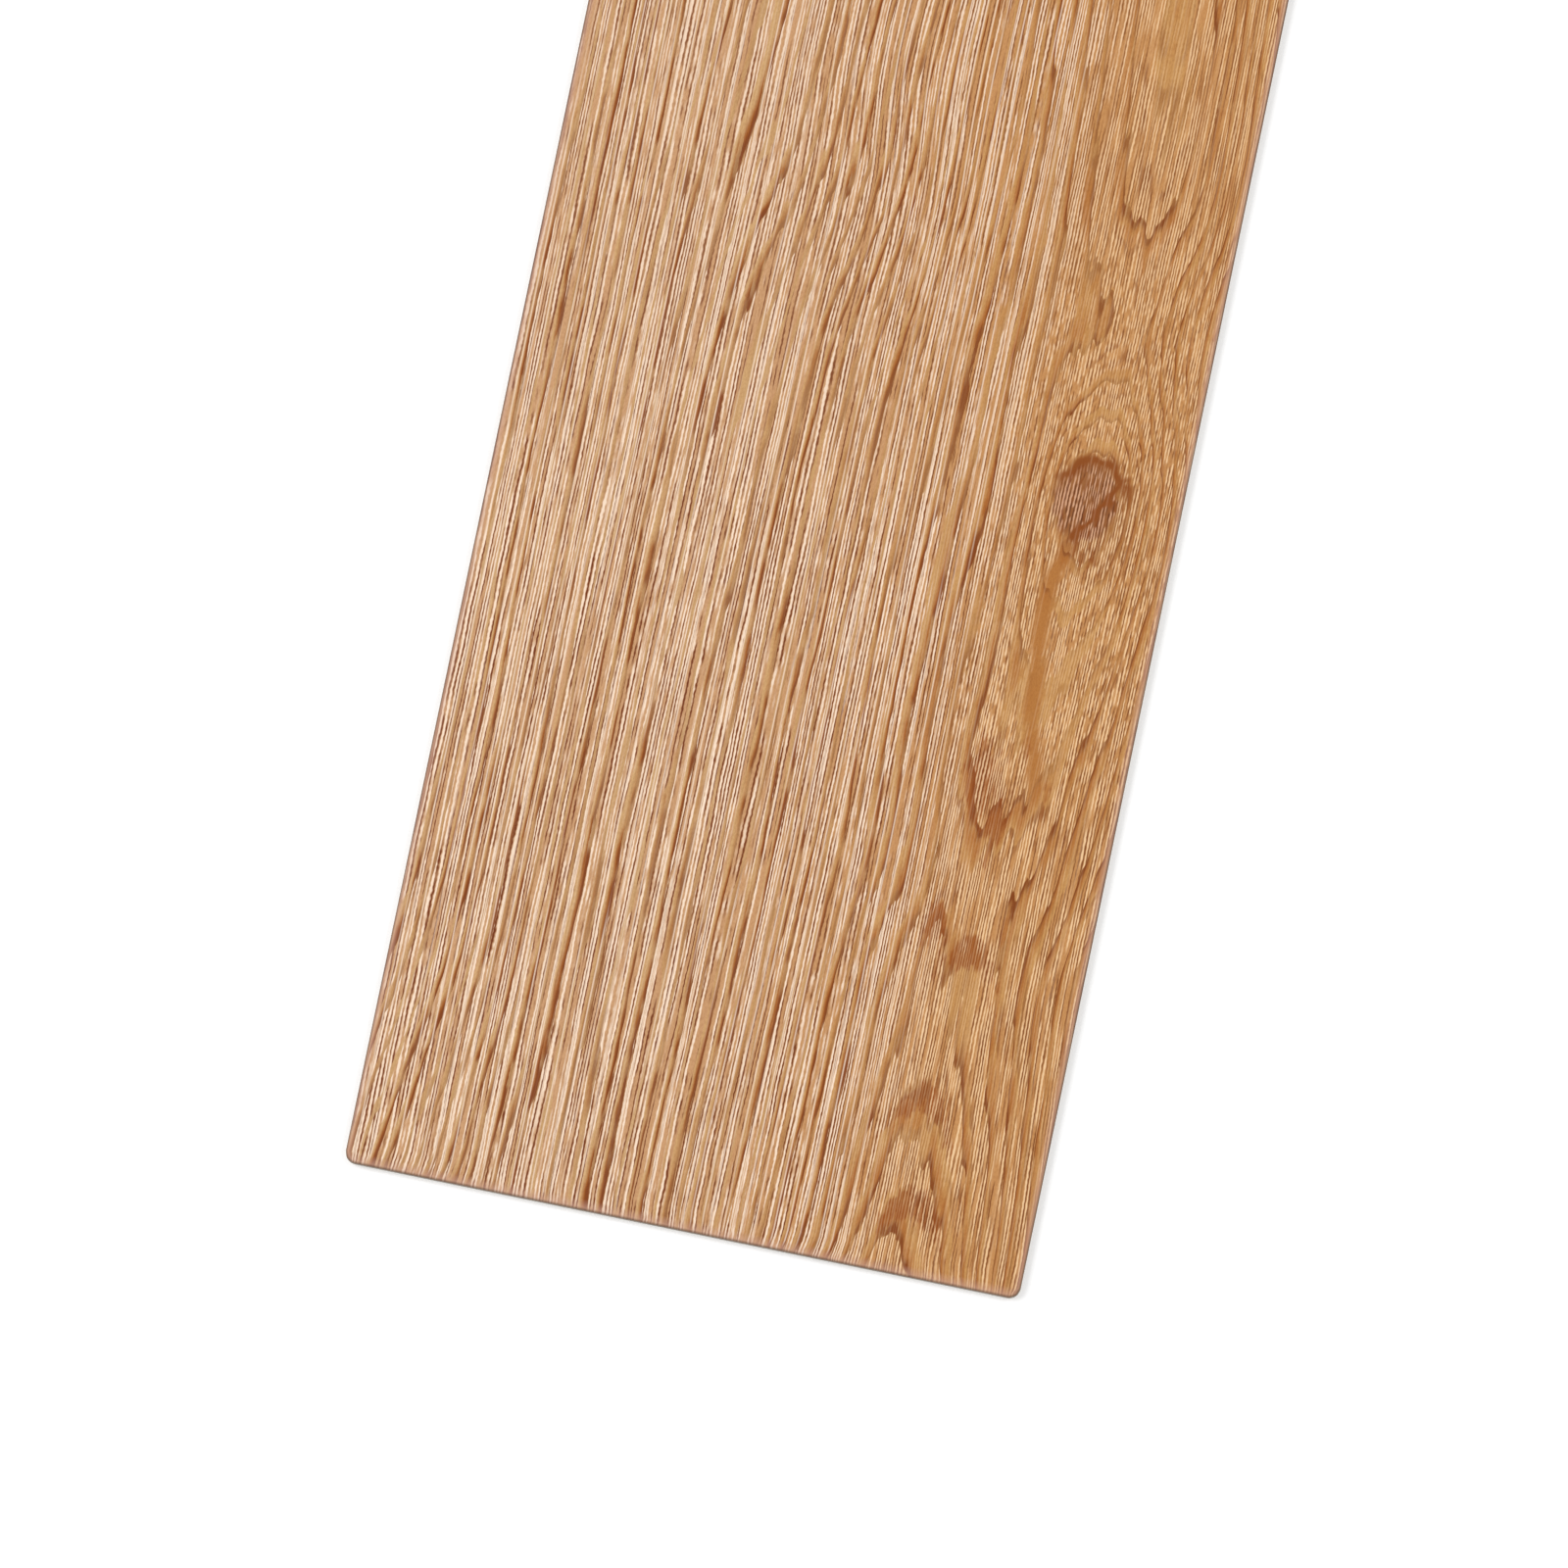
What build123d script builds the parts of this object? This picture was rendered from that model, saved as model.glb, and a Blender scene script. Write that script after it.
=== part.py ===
from build123d import *
import os

# A self-adhesive vinyl floor plank, lying face up on its release paper.
# X runs across the plank, Y along it and Z up. The origin is the middle of the
# paper's underside, so the plank lies on the plane Z = 0. Sizes are in millimetres.

# Plank, cut from calendered sheet with its paper already on the back
plank_width = 152.4
plank_length = 914.4
plank_thickness = 2.0
corner_radius = 2.6  # the four upright corners, eased by the cutting die

# Pressed micro-bevel that runs round the wear face
bevel_width = 0.6  # seen from above
bevel_drop = 0.35  # how far it falls below the wear face
bevel_blend = 0.25  # radius where the bevel meets the wear face
rim_blend = 0.12  # radius where the bevel meets the cut edge

# Release paper over the adhesive
paper_thickness = 0.15

# Levels, from the floor up
paper_top = paper_thickness
face_level = paper_top + plank_thickness
rim_level = face_level - bevel_drop
level_tolerance = 0.001


# The outline of the cut, which goes through vinyl and paper in one stroke
with BuildSketch() as die_cut:
    RectangleRounded(plank_width, plank_length, corner_radius)


# The release paper: one flat sheet that peels off the adhesive back
with BuildPart() as release_paper:
    with BuildSketch(Plane.XY):
        add(die_cut.sketch)
    extrude(amount=paper_thickness)


# The vinyl plank: a square-cut blank with its face edge pressed down to the bevel
with BuildPart() as vinyl_plank:
    with BuildSketch(Plane.XY.offset(paper_top)):
        add(die_cut.sketch)
    extrude(amount=plank_thickness)

    wear_face = vinyl_plank.faces().sort_by(Axis.Z)[-1]
    chamfer(
        wear_face.outer_wire().edges(),
        length=bevel_width,
        length2=bevel_drop,
        reference=wear_face,
    )

    # The press leaves no sharp line: both edges of the bevel are rolled
    wear_face = vinyl_plank.faces().sort_by(Axis.Z)[-1]
    fillet(wear_face.outer_wire().edges(), bevel_blend)
    rim_line = vinyl_plank.edges().filter_by(
        lambda edge: abs(edge.center().Z - rim_level) < level_tolerance
    )
    fillet(rim_line, rim_blend)


os.makedirs("parts", exist_ok=True)
release_paper.part.label = "release_paper"
vinyl_plank.part.label = "vinyl_plank"
export_step(release_paper.part, "parts/release_paper.step")
export_step(vinyl_plank.part, "parts/vinyl_plank.step")
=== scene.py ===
# A peel and stick floor plank: oak-look vinyl, lying face up on its release paper
import math

import bpy
import numpy as np
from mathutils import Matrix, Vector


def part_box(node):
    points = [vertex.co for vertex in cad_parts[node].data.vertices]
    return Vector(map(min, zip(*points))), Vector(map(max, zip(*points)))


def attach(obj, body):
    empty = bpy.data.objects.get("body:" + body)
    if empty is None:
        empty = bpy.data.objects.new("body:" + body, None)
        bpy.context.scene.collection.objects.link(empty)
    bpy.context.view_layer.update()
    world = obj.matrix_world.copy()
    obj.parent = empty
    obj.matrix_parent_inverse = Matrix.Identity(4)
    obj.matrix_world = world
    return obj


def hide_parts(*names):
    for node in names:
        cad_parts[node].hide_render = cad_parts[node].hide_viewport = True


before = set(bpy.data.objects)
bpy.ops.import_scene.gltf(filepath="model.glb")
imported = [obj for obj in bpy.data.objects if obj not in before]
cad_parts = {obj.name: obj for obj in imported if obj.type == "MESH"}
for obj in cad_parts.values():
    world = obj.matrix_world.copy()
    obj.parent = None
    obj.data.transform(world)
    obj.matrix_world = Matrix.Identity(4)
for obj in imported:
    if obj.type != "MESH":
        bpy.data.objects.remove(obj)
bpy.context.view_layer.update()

mm = 0.001
plankLow, plankHigh = (np.array(corner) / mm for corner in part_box("vinyl_plank"))
plankWidth, plankLength = (plankHigh - plankLow)[:2]
nearEnd = plankLow[1]  # the end that the camera looks at


def linearColor(hexCode):
    # sRGB hex to the linear colour that Blender works in
    shades = [int(hexCode[i:i + 2], 16) / 255 for i in (1, 3, 5)]
    return [s / 12.92 if s <= 0.04045 else ((s + 0.055) / 1.055) ** 2.4 for s in shades] + [1]


# node settings that come up often
addUp = {"operation": "ADD"}
subtract = {"operation": "SUBTRACT"}
multiply = {"operation": "MULTIPLY"}
multiplyAdd = {"operation": "MULTIPLY_ADD"}
larger = {"operation": "MAXIMUM"}
unsigned = {"operation": "ABSOLUTE"}
squareRoot = {"operation": "SQRT"}
fraction = {"operation": "FRACT"}
wholePart = {"operation": "FLOOR"}
smooth = {"interpolation_type": "SMOOTHSTEP"}  # of a range: value, from low, high, to low, high
flatNoise = {"noise_dimensions": "2D"}
tint = {"data_type": "RGBA"}  # of a mix: inputs 6 and 7 are its colours


def addNode(tree, kind, settings=None, links=None, out=0):
    # settings go on the node. Links are its inputs, by name or in order: each a value or an output
    made = tree.nodes.new(kind)
    for name, value in (settings or {}).items():
        setattr(made, name, value)
    for name, value in links.items() if isinstance(links, dict) else enumerate(links or ()):
        if isinstance(value, bpy.types.NodeSocket):
            tree.links.new(value, made.inputs[name])
        else:
            made.inputs[name].default_value = value
    return made.outputs[out] if made.outputs else made


def newMaterial(name):
    material = bpy.data.materials.new(name)
    material.use_nodes = True
    material.node_tree.nodes.clear()
    return material, material.node_tree


def softNoise(x, y, seed):
    # smooth random field from -1 to 1, one bump to each unit
    table = np.random.default_rng(seed).uniform(-1, 1, (97, 97))
    column, row = np.floor(x).astype(int), np.floor(y).astype(int)
    u, v = x - column, y - row
    u, v = u * u * (3 - 2 * u), v * v * (3 - 2 * v)
    near, far = (
        table[column % 97, r % 97] * (1 - u) + table[(column + 1) % 97, r % 97] * u
        for r in (row, row + 1)
    )
    return near * (1 - v) + far * v


def smoothCurve(points, at):
    # a soft curve through given points, read at each value
    places, heights = (np.array(values, float) for values in zip(*points))
    slopes = np.gradient(heights, places)
    i = np.clip(np.searchsorted(places, at) - 1, 0, len(places) - 2)
    span = places[i + 1] - places[i]
    t = np.clip((at - places[i]) / span, 0, 1)
    return (
        (2 * t**3 - 3 * t**2 + 1) * heights[i] + (t**3 - 2 * t**2 + t) * span * slopes[i]
        + (3 * t**2 - 2 * t**3) * heights[i + 1] + (t**3 - t**2) * span * slopes[i + 1]
    )


def hill(x, y, place, reach):
    # a soft bump, 1 at its place
    return np.exp(-((x - place[0]) / reach[0]) ** 2 - ((y - place[1]) / reach[1]) ** 2)


def smoothStep(low, high, value):
    t = np.clip((value - low) / (high - low), 0, 1)
    return t * t * (3 - 2 * t)


# The grain figure of the oak print. X is mm from the plank's middle, Y is mm from its near end
figure = {
    # rings counted from the heart: distance to this power, times, plus, so the outer ones widen
    "ringCount": (0.75, 1.341, -0.15),
    # where the heart of the arches runs across the plank
    "heart": [
        (-30, 49), (15, 50), (38, 49), (75, 48), (96, 51), (130, 53), (180, 55), (216, 50),
        (246, 51), (330, 44), (430, 36), (520, 40), (620, 50), (730, 44), (830, 30), (950, 26),
    ],
    # how deep below the face the heart of the tree lies: rising makes arches, falling makes Vs
    "depth": [
        (-30, 13.5), (0, 15.6), (15, 16.8), (39, 18.9), (75, 21.0), (86, 21.5), (96, 21.0),
        (122, 19.2), (150, 19.0), (180, 20.0), (205, 21.2), (218, 21.8), (229, 21.0),
        (246, 19.2), (270, 18.4), (330, 18.0), (430, 17.6), (500, 19.5), (560, 22.5),
        (640, 19.0), (720, 17.0), (800, 19.0), (870, 22.0), (950, 24.0),
    ],
    # the same to the right of the arches, where the rings bend less
    "rightDepth": [
        (-30, 13.5), (0, 16.0), (30, 18.0), (60, 19.4), (90, 19.9), (150, 19.6), (200, 20.5),
    ],
    "flatTop": 3.5,  # the arches' flat crowns
    # the knot's pull on the rings, its ovals as (middle, half size), and its curl's lean and offset
    "knot": {
        "place": (55.5, 178.5), "reach": (11.5, 25.0), "pull": 6.5,
        "arch": ((55.4, 177.6), (8.0, 9.4)),
        "eye": ((54.4, 177.8), (7.8, 9.2)),
        "shadow": ((58.0, 174.0), (10.0, 15.0)),
        "curl": (-0.6, 48.2),
    },
    # small dips that split an arch in two: place, reach, pull
    "dips": [
        ((41, 218), (4.0, 16), 0.9), ((58.5, 222), (3.6, 14), 1.5),
        ((42, 72), (3.2, 12), 1.1), ((53, 69), (3.5, 12), 0.9),
    ],
    # streaks without pores: middle line as (along, across), half width, where along it shows
    "calm": [
        (
            [(100, 58), (115, 57), (128, 53), (140, 52), (155, 50.5), (168, 53), (180, 55)],
            1.9, (104, 172),
        ),
    ],
    # darker patches: place, reach, strength, and how fast their ends hang down to make an arch
    "stains": [
        ((45, 112), (4.5, 10.0), 1.2, 0.0), ((50, 104), (3.0, 9.0), 1.1, 0.0),
        ((51, 74), (7.0, 3.8), 1.5, 0.12), ((41, 80), (3.6, 5.0), 1.4, 0.6),
        ((49.5, 16.5), (8.0, 3.4), 1.7, 0.12), ((47, 40), (8.5, 3.6), 1.5, 0.14),
        ((57, 168), (6.0, 9.0), 0.55, 0.0), ((50, 249), (7.0, 3.0), 0.25, 0.1),
        ((58, 62), (2.5, 9.0), 0.5, 0.0), ((60, 108), (1.6, 14.0), 0.7, 0.0),
        ((54, 122), (1.4, 12.0), 0.5, 0.0),
    ],
    # where ring lines fade out among the ticks: place, reach, strength
    "hushed": [
        ((57, 140), (9.5, 30), 0.85), ((52, 62), (7, 12), 0.85), ((46, 28), (5, 6), 0.8),
        ((49, 222), (15, 22), 0.2), ((48, 270), (20, 24), 0.3), ((56, 199), (7, 12), 0.7),
        ((42, 226), (7, 12), 0.5),
    ],
    # where the straight grain leans: place, reach, lean
    "leans": [
        ((-8, 230), (44, 34), 5.0), ((-70, 30), (24, 34), 7.0),
        ((-20, 470), (40, 80), -7.0), ((-40, 700), (36, 90), 8.0),
    ],
}


def calmField(x, y):
    # 1 where the wood is smooth, without pores
    calm = np.zeros_like(x)
    for path, halfWidth, (start, end) in figure["calm"]:
        middle = smoothCurve(path, y)
        along = smoothStep(start, start + 12, y) * (1 - smoothStep(end - 8, end, y))
        calm = np.maximum(calm, along * (1 - smoothStep(0.6, 1.3, np.abs(x - middle) / halfWidth)))
    return calm


def stainField(x, y):
    # where the print darkens, at the crowns of the arches and under the knot
    stain = np.zeros_like(x)
    for place, reach, strength, hang in figure["stains"]:
        stain = np.maximum(stain, strength * hill(x, y + hang * (x - place[0]) ** 2, place, reach))
    return stain


def hushField(x, y):
    # how far the ring lines fade out
    hush = np.zeros_like(x)
    for place, reach, strength in figure["hushed"]:
        hush = np.maximum(hush, strength * smoothStep(0.2, 0.7, hill(x, y, place, reach)))
    return hush


def heartField(x, y):
    # sideways distance from the heart of the arches, depth to it, and local pull on the rings
    swayed = x.copy()
    for place, reach, lean in figure["leans"]:
        swayed -= lean * np.exp(-((x - place[0]) / reach[0]) ** 2) * np.tanh((y - place[1]) / reach[1])
    swayed += 1.6 * softNoise(x / 34, y / 240, 3) + 0.25 * softNoise(x / 7, y / 60, 4)
    path = smoothCurve(figure["heart"], y)
    across = swayed - 50 - (path - 50) * smoothStep(5, 40, x + (50 - path))
    depth = 18 + (smoothCurve(figure["depth"], y) - 18) * smoothStep(-10, 30, x + (50 - path))
    beside = smoothStep(53, 66, x) * smoothStep(150, 115, y)
    depth += beside * (smoothCurve(figure["rightDepth"], y) - depth)
    pull = 2.4 * softNoise(x / 20, y / 300, 6) + 0.15 * softNoise(x / 6, y / 22, 5)
    for place, reach, dip in figure["dips"]:
        pull += dip * hill(x, y, place, reach)
    knot = figure["knot"]
    pull += knot["pull"] * hill(x, y, knot["place"], knot["reach"])
    return np.stack([across, depth, pull], -1)


# The vinyl sheet's own form. The outline and the bevel are the solid's
vinylSheet = {
    "cornerRadius": 2.6,
    "bevelWidth": 0.6,
    "bevelDrop": 0.35,
    "bevelBlend": 0.25,
    "rimBlend": 0.12,
    "blendSteps": 3,
    "rowStep": 2.4,
    "streakMargin": 1.9,  # kept clear along the long edges
    "streakSpacing": (1.35, 2.75),  # between the long pressed streaks
    "streakHalfWidth": 0.26,
    "streakDepth": 0.085,
    "streakFade": (28, 44),  # across: shallower from here, round the heart
    "sharpAngle": 70,
    "seed": 11,
}


def bevelProfile():
    # inset from the cut edge and drop below the wear face, from the rim inwards
    v = vinylSheet
    slope = math.atan2(v["bevelDrop"], v["bevelWidth"])
    steps = v["blendSteps"]
    points = []
    rimTurn = math.pi / 2 - slope
    rimCut = v["rimBlend"] * math.tan(rimTurn / 2)
    centre = np.array([v["rimBlend"], -v["bevelDrop"] - rimCut])
    for i in range(steps + 1):
        turn = math.pi - rimTurn * i / steps
        points.append(centre + v["rimBlend"] * np.array([math.cos(turn), math.sin(turn)]))
    topCut = v["bevelBlend"] * math.tan(slope / 2)
    centre = np.array([v["bevelWidth"] + topCut, -v["bevelBlend"]])
    for i in range(steps + 1):
        turn = math.pi / 2 + slope * (1 - i / steps)
        points.append(centre + v["bevelBlend"] * np.array([math.cos(turn), math.sin(turn)]))
    return [(float(p[0]), float(-p[1])) for p in points]


def pressedStreaks():
    # where the press roll's long streaks lie across the face, unevenly spaced
    v = vinylSheet
    draw = np.random.default_rng(v["seed"])
    places = []
    at = plankLow[0] + v["streakMargin"]
    while at < plankHigh[0] - v["streakMargin"]:
        places.append(at)
        at += draw.uniform(*v["streakSpacing"])
    return places


def roundCorners(x, y):
    # square rings become quarter circles in the four corners; inset is the way from the cut edge
    radius = vinylSheet["cornerRadius"]
    boxX, boxY = plankWidth / 2 - radius, plankLength / 2 - radius
    inX, inY = np.abs(x) - boxX, np.abs(y) - boxY
    corner = (inX > 0) & (inY > 0)
    ring = np.maximum(inX, inY)
    small = np.minimum(inX, inY)
    turn = np.where(ring > 0, small / np.where(ring > 0, ring, 1), 0) * math.pi / 4
    turn = np.where(inX >= inY, turn, math.pi / 2 - turn)
    x = np.where(corner, np.sign(x) * (boxX + ring * np.cos(turn)), x)
    y = np.where(corner, np.sign(y) * (boxY + ring * np.sin(turn)), y)
    inset = np.minimum(plankWidth / 2 - np.abs(x), plankLength / 2 - np.abs(y))
    pastX, pastY = np.maximum(np.abs(x) - boxX, 0), np.maximum(np.abs(y) - boxY, 0)
    return x, y, np.where(corner, radius - np.hypot(pastX, pastY), inset)


def mapForBake(mesh, faceCount, wallCount):
    # the long face cut in six lengths, two side by side, so that a square picture suits it
    layer = mesh.uv_layers.new(name="OFBake")
    points = np.zeros(len(mesh.vertices) * 3, np.float32)
    mesh.vertices.foreach_get("co", points)
    points = points.reshape(-1, 3) / mm
    counts = np.zeros(len(mesh.polygons), np.int32)
    mesh.polygons.foreach_get("loop_total", counts)
    corners = np.zeros(len(mesh.loops), np.int32)
    mesh.loops.foreach_get("vertex_index", corners)
    owner = np.repeat(np.arange(len(counts)), counts)
    x, y, z = points[corners].T
    x, y = x - plankLow[0], y - plankLow[1]

    def middleOf(values):
        return (np.bincount(owner, values) / counts)[owner]

    margin, gap = 6, 4.0
    cell = plankLength / 6
    piece = np.clip(np.floor(middleOf(y) / cell), 0, 5)
    row, column = np.floor(piece / 2), piece % 2
    u = margin + column * (plankWidth + gap) + x
    v = margin + row * (cell + gap) + y - piece * cell

    # the cut edges and the plain underside lie in the room to the right of the face
    isWall = (owner >= faceCount) & (owner < faceCount + wallCount)
    sideways = isWall & (np.abs(middleOf(x) - plankWidth / 2) > plankWidth / 2 - 0.5)
    onRight = middleOf(x) > plankWidth / 2
    left = margin + 2 * (plankWidth + gap)
    u = np.where(isWall, left + 4 + 8 * onRight + z, u)
    v = np.where(isWall, margin + y / 2, v)
    endWall = isWall & ~sideways
    u = np.where(endWall, left + 20 + 8 * (middleOf(y) > plankLength / 2) + z, u)
    v = np.where(endWall, margin + x, v)
    under = owner == faceCount + wallCount
    u = np.where(under, left + 40 + x / 2, u)
    v = np.where(under, margin + y / 2, v)
    whole = 3 * (cell + gap) + 2 * margin
    layer.data.foreach_set("uv", (np.stack([u, v], -1) / whole).astype(np.float32).ravel())


def makeVinylPlank():
    v = vinylSheet
    profile = bevelProfile()
    insets = [inset for inset, drop in profile]
    drops = [drop for inset, drop in profile]
    streaks = pressedStreaks()
    half = v["streakHalfWidth"]

    # columns of vertices: bevel, then each streak's shoulders and bottom, and the land between
    columns = [(plankLow[0] + inset, 0.0, -1) for inset in insets]
    for k, at in enumerate(streaks):
        columns += [(at - half, 0.0, -1), (at, 1.0, k), (at + half, 0.0, -1)]
    columns += [(plankHigh[0] - inset, 0.0, -1) for inset in reversed(insets)]
    across = np.array([c[0] for c in columns])
    isStreak = np.array([c[1] for c in columns])
    streakNumber = np.array([c[2] for c in columns])

    # rows: bevel at both ends and even steps between
    inner = round(plankLength / v["rowStep"])
    even = np.linspace(plankLow[1], plankHigh[1], inner + 1)
    reach = insets[-1] + 0.4
    even = even[(even > plankLow[1] + reach) & (even < plankHigh[1] - reach)]
    along = np.concatenate([
        [plankLow[1] + inset for inset in insets], even,
        [plankHigh[1] - inset for inset in reversed(insets)],
    ])
    x, y = np.meshgrid(across, along)
    fromEnd = y - nearEnd

    # the press follows the grain only loosely: its streaks sway a little on their own
    grainX = x.copy()
    edgeRoom = np.minimum(x - plankLow[0], plankHigh[0] - x)
    endRoom = np.minimum(y - plankLow[1], plankHigh[1] - y)
    inside = smoothStep(0.8, 9, edgeRoom) * smoothStep(0.8, 4, endRoom)
    sway = 0.9 * softNoise(x / 30, y / 90, 21) + 0.08 * softNoise(x / 7, y / 16, 22)
    sway -= 2.6 * hill(x, fromEnd, (-6, 252), (20, 26)) * (fromEnd - 252) / 26
    x = x + sway * inside
    x, y, inset = roundCorners(x, y)

    # height: the bevel's profile, less the pressed streaks
    drop = np.interp(inset, insets, drops)
    number = np.broadcast_to(streakNumber, x.shape)
    run = softNoise(number * 7.31 + 0.5, fromEnd / 90, 31)
    run = run + 0.4 * softNoise(number * 3.7 + 0.5, fromEnd / 14, 32)
    pressed = isStreak * smoothStep(-0.55, 0.15, run) * smoothStep(0.7, 2.2, inset)
    pressed *= 1 - 0.8 * smoothStep(*v["streakFade"], grainX)
    drop = drop + v["streakDepth"] * pressed
    z = plankHigh[2] - drop

    heart = heartField(grainX, fromEnd).reshape(-1, 3)
    rows, cols = x.shape
    top = np.stack([x, y, z], -1).reshape(-1, 3)
    index = np.arange(rows * cols).reshape(rows, cols)
    loop = np.concatenate([index[0, :-1], index[:-1, -1], index[-1, :0:-1], index[:0:-1, 0]])
    foot = top[loop].copy()
    foot[:, 2] = plankLow[2]
    points = np.concatenate([top, foot])
    footIndex = rows * cols + np.arange(len(loop))
    quads = np.stack([index[:-1, :-1], index[:-1, 1:], index[1:, 1:], index[1:, :-1]], -1)
    quads = quads.reshape(-1, 4)
    walls = np.stack([footIndex, np.roll(footIndex, -1), np.roll(loop, -1), loop], -1)
    faces = [*quads.tolist(), *walls.tolist(), footIndex[::-1].tolist()]

    mesh = bpy.data.meshes.new("vinylPlank")
    mesh.from_pydata((points * mm).tolist(), [], faces)
    # the pores spread towards the near right corner, as the rings do
    fan = 0.1 * np.maximum(grainX - 47, 0) * smoothStep(75, 0, fromEnd)
    grain = np.stack([grainX - fan, fromEnd, calmField(grainX, fromEnd)], -1).reshape(-1, 3)
    footGrain = np.stack([foot[:, 0], foot[:, 1] - nearEnd, np.zeros(len(foot))], -1)
    patches = [stainField(grainX, fromEnd), hushField(grainX, fromEnd), pressed]
    patches = np.stack(patches, -1).reshape(-1, 3)
    # the film over the bevel, with its painted sheen, and its last turn down to the cut, with a painted
    # shade line
    edge = [smoothStep(0.85, 0.6, inset), smoothStep(0.2, 0.05, inset), np.zeros_like(inset)]
    edge = np.stack(edge, -1).reshape(-1, 3)
    fields = {
        "grain": (grain, footGrain),
        "heart": (heart, heart[loop]),
        "patches": (patches, patches[loop]),
        "edge": (edge, edge[loop]),
    }
    for name, values in fields.items():
        layer = mesh.attributes.new(name, "FLOAT_VECTOR", "POINT")
        layer.data.foreach_set("vector", np.concatenate(values).astype(np.float32).ravel())

    mapForBake(mesh, len(quads), len(walls))

    # the printed film ends at the rim; below it shows the filled core
    slots = np.zeros(len(faces), np.int32)
    slots[len(quads):] = 1
    mesh.polygons.foreach_set("material_index", slots)
    mesh.shade_smooth()
    mesh.set_sharp_from_angle(angle=math.radians(v["sharpAngle"]))
    mesh.validate()
    plank = bpy.data.objects.new("vinylPlank", mesh)
    bpy.context.scene.collection.objects.link(plank)
    triangles = len(quads) * 2 + len(walls) * 2 + len(loop)
    print("vinyl plank:", len(mesh.vertices), "points,", triangles, "triangles")
    return plank


# Printed vinyl, calendered with an oak print under a clear urethane coat, then pressed
# with a grain texture: a satin face whose pressed lines catch the light, helped by a painted highlight
# along them
oakPrint = {
    "land": ("#D6AB76", "#CD985A"),  # smooth latewood: in the straight grain, and round the heart
    "porous": ("#D0A074", "#CA9158"),  # pinkish wood between the pores
    "brown": ("#A05818", "#AC6220"),  # a ring's late wood
    "brownEdge": ("#824012", "#84400A"),  # its last thin edge
    "poreDark": ("#743208", "#763806"),
    # painted highlight: pale lines drawn where the pressed ridges would catch the light
    "lineHighlight": ("#FFE5CC", "#FFD8A8"),
    "stain": "#96490A",
    "knotBrown": "#7E3E14",
    "knotRim": "#8C4812",
    "knotPore": "#5E2E0E",
    # the painted highlight's tone inside the knot
    "knotHighlight": "#E6B490",
    "calmGold": "#B57536",
    "bevelSheen": "#D2A894",  # painted sheen: the bevel drawn paler and lilac, as though it caught the light
    # painted shade: a dark line along the rim, where it turns down to the cut
    "rimShade": "#5E4636",
    "combPitchMm": 0.8,
    "tickPitchMm": 0.64,  # round the heart
    "finerFromMm": 28.0,  # across: the comb turns finer from here
    "driftCycles": 1.8,  # how far the comb's pitch wanders
    "waverMm": 0.35,
    "raggedMm": 0.19,
    "highlightMm": 75.0,  # how long the painted highlight lines last, then dark ones
    "hollowMm": 32.0,
    "tickMm": 4.2,
    "dashMm": 15.0,  # pores round the heart, away from the knot
    "fleckMm": 11.0,  # of the brown bands
    "ringMm": 110.0,  # how long a ring keeps its strength
    "hairMm": 16.0,
    "gritMm": (0.3, 0.8),
    "reliefMm": 0.012,  # of the pressed lines that are too fine for the mesh
    "roughness": 0.42,
    "ior": 1.5,
    "sheen": 0.2,  # the matte coat scatters part of the shine
}


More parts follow.
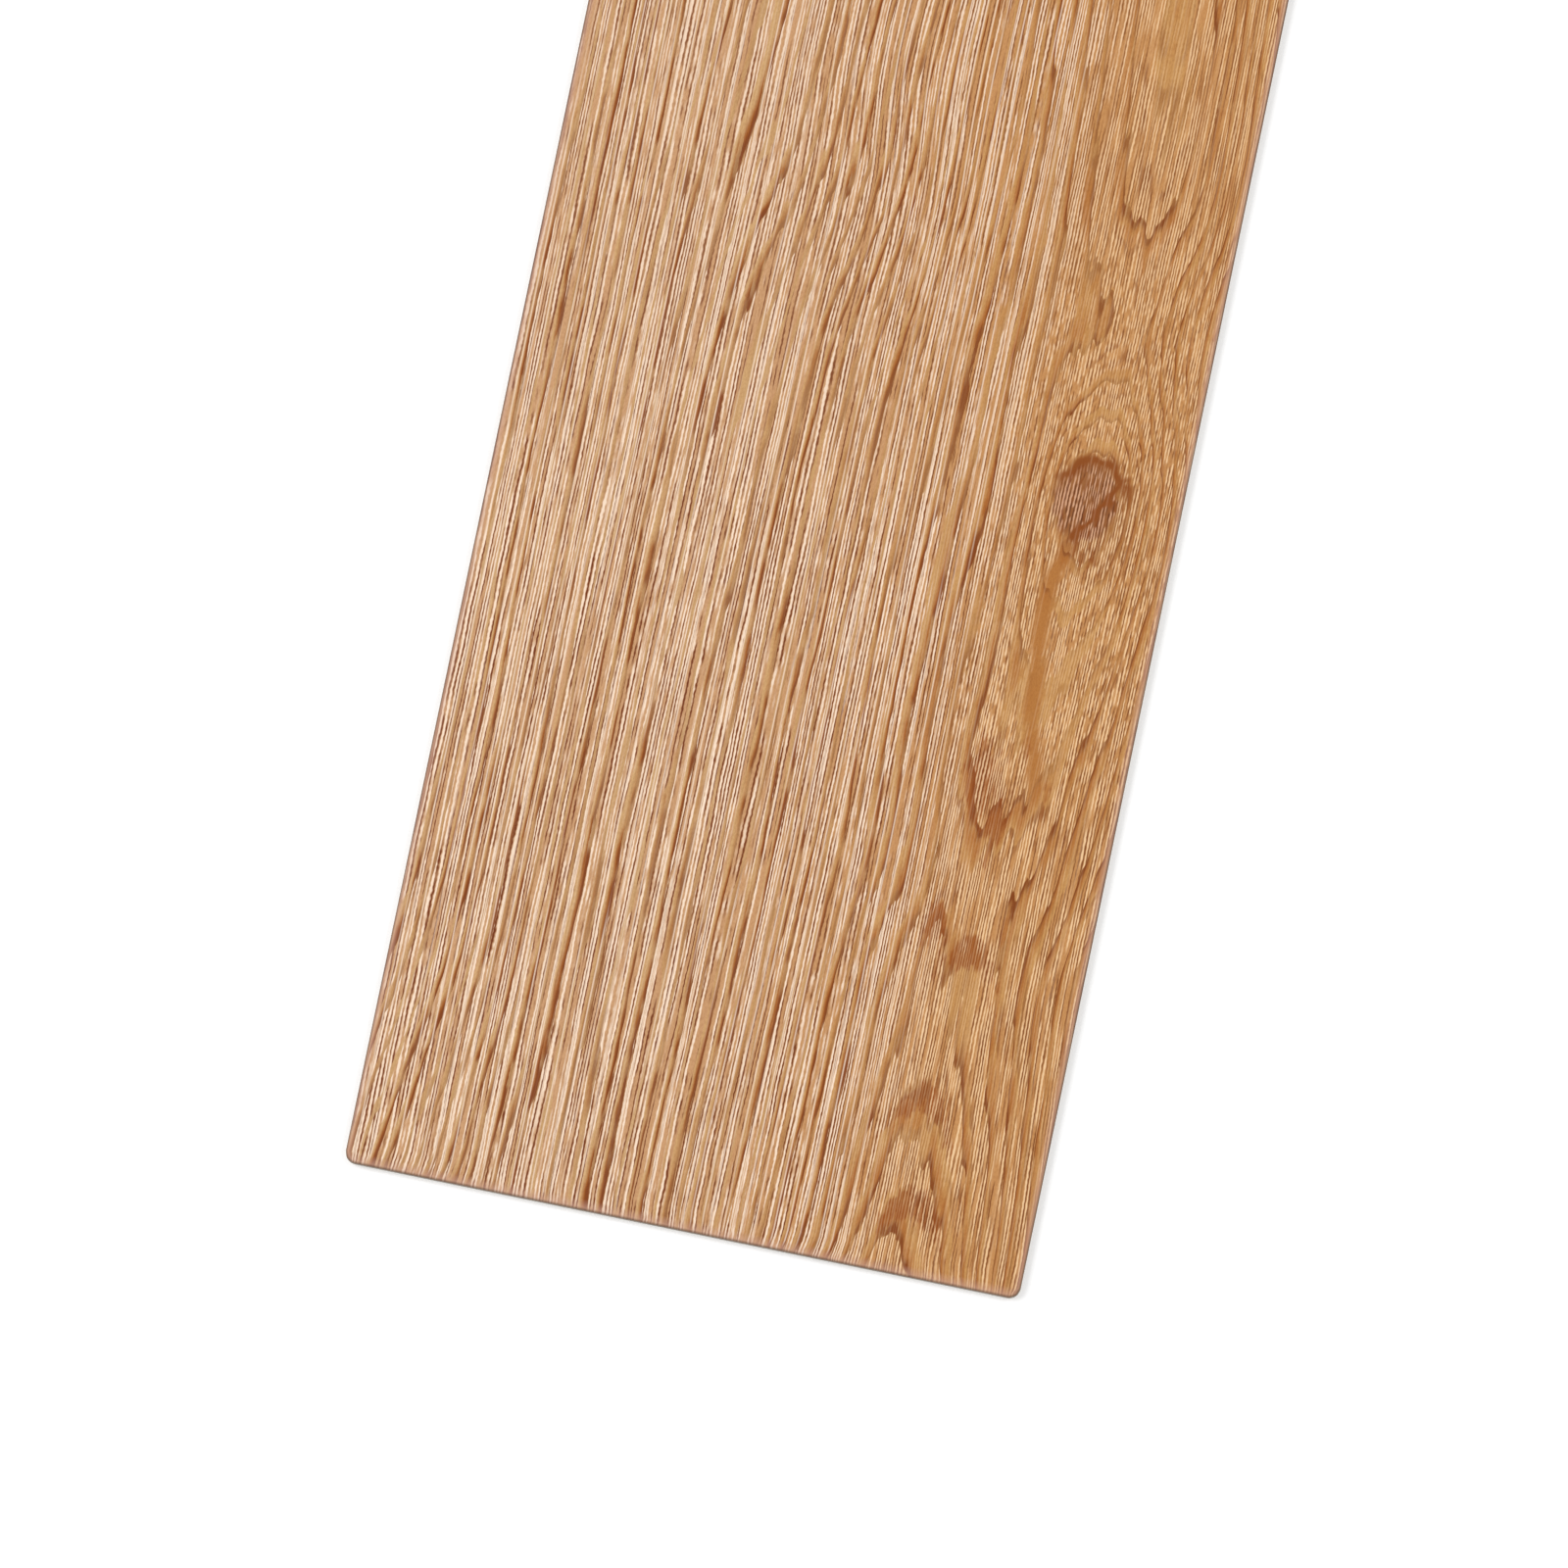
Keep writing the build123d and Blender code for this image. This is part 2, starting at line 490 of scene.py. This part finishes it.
def oakVinylMaterial():
    look = oakPrint
    material, tree = newMaterial("oakPrintedVinyl")
    grain, heart, patches, edge = (
        addNode(tree, "ShaderNodeAttribute", {"attribute_name": name}, out="Vector")
        for name in ("grain", "heart", "patches", "edge"))
    acrossMm, alongMm, calm = (
        addNode(tree, "ShaderNodeSeparateXYZ", None, (grain,), out=axis) for axis in "XYZ")
    stain, hush, pressed = (
        addNode(tree, "ShaderNodeSeparateXYZ", None, (patches,), out=axis) for axis in "XYZ")
    bevel, rimTurn = (
        addNode(tree, "ShaderNodeSeparateXYZ", None, (edge,), out=axis) for axis in "XY")

    def streaks(widthMm, lengthMm, shift):
        # noise drawn out along the plank, one bump to widthMm by lengthMm
        placed = addNode(tree, "ShaderNodeVectorMath", multiplyAdd, (
            grain, (1 / widthMm, 1 / lengthMm, 0), (shift, shift * 1.7, 0)))
        return addNode(tree, "ShaderNodeTexNoise", flatNoise, {
            "Vector": placed, "Scale": 1.0, "Detail": 0.0})

    # where the colours turn golden, further in beyond the knot, and where the heart's wood lies
    goldSide = addNode(tree, "ShaderNodeMapRange", smooth, (alongMm, 150.0, 260.0, 0.0, 20.0))
    goldSide = addNode(tree, "ShaderNodeMath", addUp, (acrossMm, goldSide))
    goldSide = addNode(tree, "ShaderNodeMapRange", smooth, (goldSide, -30.0, 60.0))
    heartSide = addNode(tree, "ShaderNodeMapRange", smooth, (acrossMm, 26.0, 50.0))
    tones = {}
    for name in ("land", "porous", "brown", "brownEdge", "poreDark", "lineHighlight"):
        straight, golden = look[name]
        side = heartSide if name == "lineHighlight" else goldSide
        tones[name] = addNode(tree, "ShaderNodeMix", tint, {
            "Factor": side, 6: linearColor(straight), 7: linearColor(golden)}, out=2)

    # pressed lines: a comb whose pitch wanders, and each line comes and goes on its own
    pitch = look["combPitchMm"]
    drift = addNode(tree, "ShaderNodeMath", multiply, (streaks(4.2, 130.0, 1.3), look["driftCycles"]))
    drift = addNode(tree, "ShaderNodeMath", multiplyAdd, (
        streaks(1.6, 9.0, 4.4), look["waverMm"] / pitch, drift))
    drift = addNode(tree, "ShaderNodeMath", multiplyAdd, (
        streaks(0.4, 1.0, 6.1), look["raggedMm"] / pitch, drift))
    finer = addNode(tree, "ShaderNodeMath", subtract, (acrossMm, look["finerFromMm"]))
    finer = addNode(tree, "ShaderNodeMath", larger, (finer, 0.0))
    drift = addNode(tree, "ShaderNodeMath", multiplyAdd, (
        finer, 1 / look["tickPitchMm"] - 1 / pitch, drift))
    comb = addNode(tree, "ShaderNodeMath", multiplyAdd, (acrossMm, 1 / pitch, drift))
    inLine = addNode(tree, "ShaderNodeMath", fraction, (comb,))
    lineNumber = addNode(tree, "ShaderNodeMath", wholePart, (comb,))

    def lineNoise(lengthMm, shift, detail=0.0):
        # noise along the pressed lines, each line with its own
        row = addNode(tree, "ShaderNodeMath", multiplyAdd, (lineNumber, 5.31, shift))
        run = addNode(tree, "ShaderNodeMath", multiply, (alongMm, 1 / lengthMm))
        placed = addNode(tree, "ShaderNodeCombineXYZ", None, (row, run))
        return addNode(tree, "ShaderNodeTexNoise", flatNoise, {
            "Vector": placed, "Scale": 1.0, "Detail": detail})

    # rings: distance to the heart of the tree, with flat crowns and local pulls
    across, depth, pull = (
        addNode(tree, "ShaderNodeSeparateXYZ", None, (heart,), out=axis) for axis in "XYZ")
    crown = figure["flatTop"]
    bent = addNode(tree, "ShaderNodeMath", multiplyAdd, (across, across, crown**2))
    bent = addNode(tree, "ShaderNodeMath", squareRoot, (bent,))
    bent = addNode(tree, "ShaderNodeMath", subtract, (bent, crown))
    deep = addNode(tree, "ShaderNodeMath", multiply, (depth, depth))
    radius = addNode(tree, "ShaderNodeMath", multiplyAdd, (bent, bent, deep))
    radius = addNode(tree, "ShaderNodeMath", squareRoot, (radius,))
    radius = addNode(tree, "ShaderNodeMath", subtract, (radius, pull))
    power, count, shift = figure["ringCount"]
    rings = addNode(tree, "ShaderNodeMath", {"operation": "POWER"}, (radius, power))
    rings = addNode(tree, "ShaderNodeMath", multiplyAdd, (rings, -count, 100 - shift))
    wobble = addNode(tree, "ShaderNodeMapRange", smooth, (
        streaks(2.2, 34.0, 3.1), 0.25, 0.75, -0.1, 0.1))
    jag = addNode(tree, "ShaderNodeMapRange", smooth, (
        lineNoise(6.0, 8.3), 0.25, 0.75, -0.08, 0.08))
    jagSize = addNode(tree, "ShaderNodeMath", multiplyAdd, (heartSide, -0.15, 0.4))
    jag = addNode(tree, "ShaderNodeMath", multiply, (jag, jagSize))
    rings = addNode(tree, "ShaderNodeMath", addUp, (rings, wobble))
    rings = addNode(tree, "ShaderNodeMath", addUp, (rings, jag))
    phase = addNode(tree, "ShaderNodeMath", fraction, (rings,))

    # each ring has its own strength, which comes and goes along the plank
    ring = addNode(tree, "ShaderNodeMath", wholePart, (rings,))
    ring = addNode(tree, "ShaderNodeMath", multiply, (ring, 3.37))
    run = addNode(tree, "ShaderNodeMath", multiply, (alongMm, 1 / look["ringMm"]))
    placed = addNode(tree, "ShaderNodeCombineXYZ", None, (ring, run))
    ringStrength = addNode(tree, "ShaderNodeTexNoise", flatNoise, {"Vector": placed, "Scale": 1.0})
    strong = addNode(tree, "ShaderNodeMapRange", smooth, (ringStrength, 0.36, 0.58, 0.15, 1.0))
    atHeart = addNode(tree, "ShaderNodeMapRange", smooth, (acrossMm, 26.0, 46.0))
    strong = addNode(tree, "ShaderNodeMath", larger, (strong, atHeart))
    unhushed = addNode(tree, "ShaderNodeMath", subtract, (1.0, hush))
    strong = addNode(tree, "ShaderNodeMath", multiply, (strong, unhushed))

    # pores open at the start of a ring, then smooth land, brown at its end and a sharp step
    landStart = addNode(tree, "ShaderNodeMapRange", smooth, (ringStrength, 0.34, 0.6, 0.76, 0.5))
    land = addNode(tree, "ShaderNodeMath", subtract, (phase, landStart))
    land = addNode(tree, "ShaderNodeMapRange", smooth, (land, 0.0, 0.07))
    pores = addNode(tree, "ShaderNodeMath", subtract, (1.0, land))
    step = addNode(tree, "ShaderNodeMapRange", smooth, (phase, 0.98, 1.0, 1.0, 0.0))
    edgeStart = addNode(tree, "ShaderNodeMath", multiplyAdd, (heartSide, 0.06, 0.8))
    edging = addNode(tree, "ShaderNodeMath", subtract, (phase, edgeStart))
    edging = addNode(tree, "ShaderNodeMapRange", smooth, (edging, 0.0, 0.08))
    browning = addNode(tree, "ShaderNodeMapRange", smooth, (phase, 0.6, 0.84))
    paler = addNode(tree, "ShaderNodeMath", multiplyAdd, (heartSide, -0.25, 1.0))
    browning = addNode(tree, "ShaderNodeMath", multiply, (browning, paler))
    browning = addNode(tree, "ShaderNodeMath", larger, (browning, edging))
    flecks = addNode(tree, "ShaderNodeMapRange", smooth, (
        lineNoise(look["fleckMm"], 5.7, 1.0), 0.34, 0.54, 0.45, 1.0))
    flecks = addNode(tree, "ShaderNodeMath", multiply, (flecks, strong))
    band = addNode(tree, "ShaderNodeMath", multiply, (browning, step))
    band = addNode(tree, "ShaderNodeMath", multiply, (band, flecks))
    land = addNode(tree, "ShaderNodeMath", multiply, (land, step))

    # hairlines that run along the rings round the heart, three to a ring
    thirds = addNode(tree, "ShaderNodeMath", multiply, (rings, 3.0))
    ring = addNode(tree, "ShaderNodeMath", wholePart, (thirds,))
    ring = addNode(tree, "ShaderNodeMath", multiply, (ring, 2.71))
    run = addNode(tree, "ShaderNodeMath", multiply, (alongMm, 1 / look["hairMm"]))
    placed = addNode(tree, "ShaderNodeCombineXYZ", None, (ring, run))
    hairLife = addNode(tree, "ShaderNodeTexNoise", flatNoise, {
        "Vector": placed, "Scale": 1.0, "Detail": 1.0})
    hairLife = addNode(tree, "ShaderNodeMapRange", smooth, (hairLife, 0.42, 0.6, 0.0, 0.6))
    thirds = addNode(tree, "ShaderNodeMath", fraction, (thirds,))
    rise = addNode(tree, "ShaderNodeMapRange", smooth, (thirds, 0.5, 0.8))
    fall = addNode(tree, "ShaderNodeMapRange", smooth, (thirds, 1.0, 0.9))
    hair = addNode(tree, "ShaderNodeMath", multiply, (rise, fall))
    hair = addNode(tree, "ShaderNodeMath", multiply, (hair, hairLife))
    hairShow = addNode(tree, "ShaderNodeMath", multiplyAdd, (hush, -0.7, 1.0))
    hairShow = addNode(tree, "ShaderNodeMath", multiply, (heartSide, hairShow))
    hair = addNode(tree, "ShaderNodeMath", multiply, (hair, hairShow))

    # the knot: an arched rim over a dark eye, with a curl on its lower right
    knot = figure["knot"]
    raggedKnot = streaks(3.0, 4.0, 9.2)
    raggedOval = addNode(tree, "ShaderNodeMapRange", smooth, (raggedKnot, 0.3, 0.7, -0.06, 0.06))
    ovals = []
    for place, reach in (knot["arch"], knot["eye"], knot["shadow"]):
        placed = addNode(tree, "ShaderNodeVectorMath", multiplyAdd, (
            grain, (1 / reach[0], 1 / reach[1], 0), (-place[0] / reach[0], -place[1] / reach[1], 0)))
        size = addNode(tree, "ShaderNodeVectorMath", {"operation": "LENGTH"}, (placed,), out="Value")
        ovals.append(addNode(tree, "ShaderNodeMath", addUp, (size, raggedOval)))
    arch, eye, shadow = ovals
    eye = addNode(tree, "ShaderNodeMapRange", smooth, (eye, 1.04, 0.8))
    shadow = addNode(tree, "ShaderNodeMapRange", smooth, (shadow, 1.15, 0.4))
    arch = addNode(tree, "ShaderNodeMath", subtract, (arch, 1.0))
    arch = addNode(tree, "ShaderNodeMath", unsigned, (arch,))
    arch = addNode(tree, "ShaderNodeMapRange", smooth, (arch, 0.03, 0.26, 1.0, 0.0))
    upperHalf = addNode(tree, "ShaderNodeMapRange", smooth, (alongMm, 176.0, 184.0))
    arch = addNode(tree, "ShaderNodeMath", multiply, (arch, upperHalf))
    lean, offset = knot["curl"]
    curl = addNode(tree, "ShaderNodeMath", multiplyAdd, (alongMm, lean, acrossMm))
    curl = addNode(tree, "ShaderNodeMath", addUp, (curl, offset))
    raggedCurl = addNode(tree, "ShaderNodeMapRange", smooth, (raggedKnot, 0.3, 0.7, -0.7, 0.7))
    curl = addNode(tree, "ShaderNodeMath", addUp, (curl, raggedCurl))
    curl = addNode(tree, "ShaderNodeMath", unsigned, (curl,))
    curl = addNode(tree, "ShaderNodeMapRange", smooth, (curl, 0.3, 1.5, 1.0, 0.0))
    curlTop = addNode(tree, "ShaderNodeMapRange", smooth, (alongMm, 186.0, 184.0))
    curl = addNode(tree, "ShaderNodeMath", multiply, (curl, curlTop))
    curlFoot = addNode(tree, "ShaderNodeMapRange", smooth, (alongMm, 167.0, 169.5))
    curl = addNode(tree, "ShaderNodeMath", multiply, (curl, curlFoot))
    knotRim = addNode(tree, "ShaderNodeMath", larger, (arch, curl))

    # across each line: a painted highlight on its raised side, then a dark hollow
    pale = addNode(tree, "ShaderNodeMath", subtract, (inLine, 0.3))
    pale = addNode(tree, "ShaderNodeMath", unsigned, (pale,))
    pale = addNode(tree, "ShaderNodeMapRange", smooth, (pale, 0.1, 0.32, 1.0, 0.0))
    hollow = addNode(tree, "ShaderNodeMath", subtract, (inLine, 0.76))
    hollow = addNode(tree, "ShaderNodeMath", unsigned, (hollow,))
    hollow = addNode(tree, "ShaderNodeMapRange", smooth, (hollow, 0.06, 0.28, 1.0, 0.0))

    # along each line: long runs of painted highlight and of dark, dashes round the heart, and ticks by
    # the knot
    byKnot = addNode(tree, "ShaderNodeMapRange", smooth, (alongMm, 100.0, 128.0))
    pastKnot = addNode(tree, "ShaderNodeMapRange", smooth, (alongMm, 250.0, 215.0))
    byKnot = addNode(tree, "ShaderNodeMath", multiply, (byKnot, pastKnot))
    lives = []
    for lengthMm, shift, broken, tickShift, heartShift in (
        (look["highlightMm"], 7.7, 0.25, 4.1, 2.9),
        (look["hollowMm"], 1.2, 0.35, 3.3, 5.6),
    ):
        straightLife = addNode(tree, "ShaderNodeMix", None, {
            "Factor": broken, 2: lineNoise(lengthMm, shift), 3: lineNoise(look["tickMm"], tickShift)})
        dashes = lineNoise(look["dashMm"], heartShift, 1.0)
        ticks = lineNoise(look["tickMm"], heartShift, 1.0)
        heartLife = addNode(tree, "ShaderNodeMix", None, {"Factor": byKnot, 2: dashes, 3: ticks})
        lives.append(addNode(tree, "ShaderNodeMix", None, {
            "Factor": heartSide, 2: straightLife, 3: heartLife}))
    highlightLife, hollowLife = lives
    highlightLife = addNode(tree, "ShaderNodeMapRange", smooth, (highlightLife, 0.36, 0.54))
    hollowLife = addNode(tree, "ShaderNodeMapRange", smooth, (hollowLife, 0.36, 0.56))
    highlightRidge = addNode(tree, "ShaderNodeMath", multiply, (pale, highlightLife))
    dark = addNode(tree, "ShaderNodeMath", multiply, (hollow, hollowLife))

    # darker patches start and end line by line, and are deepest in the hollows
    ragged = addNode(tree, "ShaderNodeMath", multiplyAdd, (lineNoise(4.0, 9.9, 1.0), 1.4, -0.7))
    stain = addNode(tree, "ShaderNodeMath", addUp, (stain, ragged))
    stain = addNode(tree, "ShaderNodeMapRange", smooth, (stain, 0.35, 0.85))
    deepest = addNode(tree, "ShaderNodeMath", multiplyAdd, (hollow, 0.3, 0.7))
    stain = addNode(tree, "ShaderNodeMath", multiply, (stain, deepest))

    # where lines may show: strongly among the pores, faintly on the smooth land
    bare = addNode(tree, "ShaderNodeMath", larger, (calm, knotRim))
    poresOpen = addNode(tree, "ShaderNodeMath", subtract, (1.0, bare))
    landShow = addNode(tree, "ShaderNodeMath", multiplyAdd, (heartSide, 0.25, 0.12))
    show = addNode(tree, "ShaderNodeMix", None, {"Factor": land, 2: 1.0, 3: landShow})
    offBand = addNode(tree, "ShaderNodeMath", multiplyAdd, (band, -0.8, 1.0))
    show = addNode(tree, "ShaderNodeMath", multiply, (show, offBand))
    show = addNode(tree, "ShaderNodeMath", larger, (show, eye))
    show = addNode(tree, "ShaderNodeMath", multiply, (show, poresOpen))
    farShow = addNode(tree, "ShaderNodeMapRange", smooth, (alongMm, 140.0, 230.0, 1.0, 0.84))
    show = addNode(tree, "ShaderNodeMath", multiply, (show, farShow))
    softer = addNode(tree, "ShaderNodeMath", multiplyAdd, (heartSide, -0.15, 1.0))
    darkShow = addNode(tree, "ShaderNodeMath", multiply, (show, softer))
    offStain = addNode(tree, "ShaderNodeMath", multiplyAdd, (stain, -0.3, 1.0))
    # where the painted highlight shows on the raised side of each line
    highlightShow = addNode(tree, "ShaderNodeMath", multiply, (darkShow, offStain))
    highlightShow = addNode(tree, "ShaderNodeMath", multiply, (highlightRidge, highlightShow))
    # the long pressed streaks get a painted highlight along their bottoms
    grooveHighlight = addNode(tree, "ShaderNodeMath", multiply, (pressed, 0.85))
    highlightShow = addNode(tree, "ShaderNodeMath", larger, (highlightShow, grooveHighlight))
    darkShow = addNode(tree, "ShaderNodeMath", multiply, (dark, darkShow))
    hair = addNode(tree, "ShaderNodeMath", multiply, (hair, poresOpen))
    grit = addNode(tree, "ShaderNodeMapRange", smooth, (
        streaks(*look["gritMm"], 7.3), 0.35, 0.75, 0.0, 0.16))

    # the inks, with the painted highlight, sheen and shade, laid one over the other
    brown = addNode(tree, "ShaderNodeMix", tint, {
        "Factor": edging, 6: tones["brown"], 7: tones["brownEdge"]}, out=2)
    poreInk = addNode(tree, "ShaderNodeMix", tint, {
        "Factor": eye, 6: tones["poreDark"], 7: linearColor(look["knotPore"])}, out=2)
    # the painted highlight's colour, its own tone inside the knot
    highlightInk = addNode(tree, "ShaderNodeMix", tint, {
        "Factor": eye, 6: tones["lineHighlight"], 7: linearColor(look["knotHighlight"])}, out=2)
    color = tones["land"]
    for amount, strength, ink in (
        (pores, 1.0, tones["porous"]),
        (calm, 0.9, linearColor(look["calmGold"])),
        (band, 1.0, brown),
        (stain, 0.92, linearColor(look["stain"])),
        (shadow, 0.35, linearColor(look["knotBrown"])),
        (eye, 0.6, linearColor(look["knotBrown"])),
        (knotRim, 0.95, linearColor(look["knotRim"])),
        (grit, 1.0, tones["brownEdge"]),
        (hair, 1.0, tones["brownEdge"]),
        (darkShow, 1.0, poreInk),
        # painted highlight
        (highlightShow, 1.0, highlightInk),
        # painted sheen on the bevel, then painted shade along the rim
        (bevel, 0.55, linearColor(look["bevelSheen"])),
        (rimTurn, 0.8, linearColor(look["rimShade"])),
    ):
        amount = addNode(tree, "ShaderNodeMath", multiply, (amount, strength))
        color = addNode(tree, "ShaderNodeMix", tint, {"Factor": amount, 6: color, 7: ink}, out=2)

    relief = addNode(tree, "ShaderNodeMath", subtract, (highlightRidge, dark))
    relief = addNode(tree, "ShaderNodeMath", multiply, (relief, show))
    bump = addNode(tree, "ShaderNodeBump", None, {
        "Strength": 1.0, "Distance": look["reliefMm"] * mm, "Height": relief})
    surface = addNode(tree, "ShaderNodeBsdfPrincipled", None, {
        "Base Color": color, "Roughness": look["roughness"], "IOR": look["ior"],
        "Specular IOR Level": look["sheen"], "Normal": bump})
    addNode(tree, "ShaderNodeOutputMaterial", None, {"Surface": surface})
    return material


# Filled vinyl core, seen only at the cut edges: chalky, grey-beige and dull
coreVinyl = {
    "pale": "#A79A8C",
    "deep": "#8E8175",
    "speckMm": 0.35,
    "reliefMm": 0.03,
    "roughness": 0.6,
    "ior": 1.52,
}


def coreVinylMaterial():
    look = coreVinyl
    material, tree = newMaterial("limestoneFilledVinyl")
    place = addNode(tree, "ShaderNodeTexCoord", out="Object")
    speck = addNode(tree, "ShaderNodeTexNoise", None, {
        "Vector": place, "Scale": 1 / (look["speckMm"] * mm), "Detail": 2.0})
    color = addNode(tree, "ShaderNodeMix", tint, {
        "Factor": speck, 6: linearColor(look["pale"]), 7: linearColor(look["deep"])}, out=2)
    bump = addNode(tree, "ShaderNodeBump", None, {
        "Strength": 0.5, "Distance": look["reliefMm"] * mm, "Height": speck})
    surface = addNode(tree, "ShaderNodeBsdfPrincipled", None, {
        "Base Color": color, "Roughness": look["roughness"], "IOR": look["ior"], "Normal": bump})
    addNode(tree, "ShaderNodeOutputMaterial", None, {"Surface": surface})
    return material


# Release paper: bleached kraft with a silicone film, smooth and off-white
releasePaper = {
    "pale": "#EDE7DA",
    "deep": "#E0D8C7",
    "fibreMm": 1.2,
    "reliefMm": 0.02,
    "roughness": 0.5,
    "ior": 1.45,
}


def releasePaperMaterial():
    look = releasePaper
    material, tree = newMaterial("siliconeReleasePaper")
    place = addNode(tree, "ShaderNodeTexCoord", out="Object")
    cloud = addNode(tree, "ShaderNodeTexNoise", None, {
        "Vector": place, "Scale": 1 / (look["fibreMm"] * mm), "Detail": 4.0, "Distortion": 1.5})
    color = addNode(tree, "ShaderNodeMix", tint, {
        "Factor": cloud, 6: linearColor(look["pale"]), 7: linearColor(look["deep"])}, out=2)
    bump = addNode(tree, "ShaderNodeBump", None, {
        "Strength": 0.4, "Distance": look["reliefMm"] * mm, "Height": cloud})
    surface = addNode(tree, "ShaderNodeBsdfPrincipled", None, {
        "Base Color": color, "Roughness": look["roughness"], "IOR": look["ior"], "Normal": bump})
    addNode(tree, "ShaderNodeOutputMaterial", None, {"Surface": surface})
    return material


# Studio: a white floor that keeps the plank's shadow, and soft light from above
studio = {
    "azimuth": 11.7,
    "elevation": 81.4,
    "distance": 7.72,
    "lensMm": 800,
    "aimMm": (2.1, -354.9),
    "floorSize": 60.0,
    "floorPaint": "#E6E6E6",
    "floorSeen": "#FFFFFF",
    "floorLift": (0.17, 0.6),  # by the plank, and far out: keeps the backdrop paper-white
    "liftReach": (0.6, 1.6),
    "worldStrength": 0.58,
    # lamps: name, place, size, watts
    "lamps": [("windowLeft", (-1.3, -0.30, 1.3), 1.0, 14.0), ("softRight", (1.2, 0.2, 1.4), 1.0, 7.0)],
    "lampAim": (0, -0.3, 0),
}


def backdropRay(tree):
    # 1 where the camera sees the backdrop, straight on, in a shine or through glass
    camera, shine, glass = (
        addNode(tree, "ShaderNodeLightPath", out=f"Is {kind} Ray")
        for kind in ("Camera", "Glossy", "Transmission"))
    either = addNode(tree, "ShaderNodeMath", larger, (camera, shine))
    return addNode(tree, "ShaderNodeMath", larger, (either, glass))


def makeStudio():
    look = studio
    scene = bpy.context.scene
    scene.view_settings.view_transform = "Standard"
    turn, rise = math.radians(look["azimuth"]), math.radians(look["elevation"])
    back = np.array([math.sin(turn) * math.cos(rise), -math.cos(turn) * math.cos(rise), math.sin(rise)])
    aim = np.array([look["aimMm"][0] * mm, look["aimMm"][1] * mm, plankHigh[2] * mm])
    data = bpy.data.cameras.new("camera")
    data.lens, data.sensor_width = look["lensMm"], 36
    data.clip_start, data.clip_end = 0.1, 100
    camera = bpy.data.objects.new("camera", data)
    camera.location = aim + back * look["distance"]
    camera.rotation_euler = (math.pi / 2 - rise, 0, turn)
    scene.collection.objects.link(camera)
    scene.camera = camera

    material, tree = newMaterial("whiteFloor")
    seen = backdropRay(tree)
    color = addNode(tree, "ShaderNodeMix", tint, {
        "Factor": seen, 6: linearColor(look["floorPaint"]), 7: linearColor(look["floorSeen"])}, out=2)
    paint = addNode(tree, "ShaderNodeBsdfDiffuse", None, {"Color": color})
    spot = addNode(tree, "ShaderNodeTexCoord", out="Object")
    fromPlank = addNode(tree, "ShaderNodeVectorMath", {"operation": "LENGTH"}, {0: spot}, out="Value")
    lift = addNode(tree, "ShaderNodeMapRange", smooth, (
        fromPlank, *look["liftReach"], *look["floorLift"]))
    lift = addNode(tree, "ShaderNodeMath", multiply, (lift, seen))
    glow = addNode(tree, "ShaderNodeEmission", None, {"Color": (1, 1, 1, 1), "Strength": lift})
    surface = addNode(tree, "ShaderNodeAddShader", None, {0: paint, 1: glow})
    addNode(tree, "ShaderNodeOutputMaterial", None, {"Surface": surface})
    side = look["floorSize"] / 2
    mesh = bpy.data.meshes.new("floor")
    corners = [(-side, -side, 0), (side, -side, 0), (side, side, 0), (-side, side, 0)]
    mesh.from_pydata(corners, [], [(0, 1, 2, 3)])
    mesh.materials.append(material)
    floor = bpy.data.objects.new("floor", mesh)
    scene.collection.objects.link(floor)

    world = bpy.data.worlds.new("studioAir")
    scene.world = world
    world.use_nodes = True
    tree = world.node_tree
    tree.nodes.clear()
    seen = backdropRay(tree)
    strength = addNode(tree, "ShaderNodeMapRange", None, {
        "Value": seen, "To Min": look["worldStrength"], "To Max": 1.0})
    sky = addNode(tree, "ShaderNodeBackground", None, {"Color": (1, 1, 1, 1), "Strength": strength})
    addNode(tree, "ShaderNodeOutputWorld", None, {"Surface": sky})

    for name, place, size, watts in look["lamps"]:
        lamp = bpy.data.lights.new(name, "AREA")
        lamp.shape, lamp.size, lamp.energy = "SQUARE", size, watts
        holder = bpy.data.objects.new(name, lamp)
        holder.location = place
        toward = np.array(look["lampAim"]) - np.array(place)
        yaw = math.atan2(toward[1], toward[0])
        pitch = math.atan2(math.hypot(toward[0], toward[1]), -toward[2])
        holder.rotation_euler = (0, -pitch, yaw)
        scene.collection.objects.link(holder)
    print("studio ready")


plank = makeVinylPlank()
plank.data.materials.append(oakVinylMaterial())
plank.data.materials.append(coreVinylMaterial())
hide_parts("vinyl_plank")
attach(plank, "root")

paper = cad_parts["release_paper"]
paper.data.materials.clear()
paper.data.materials.append(releasePaperMaterial())
print("materials ready")
makeStudio()
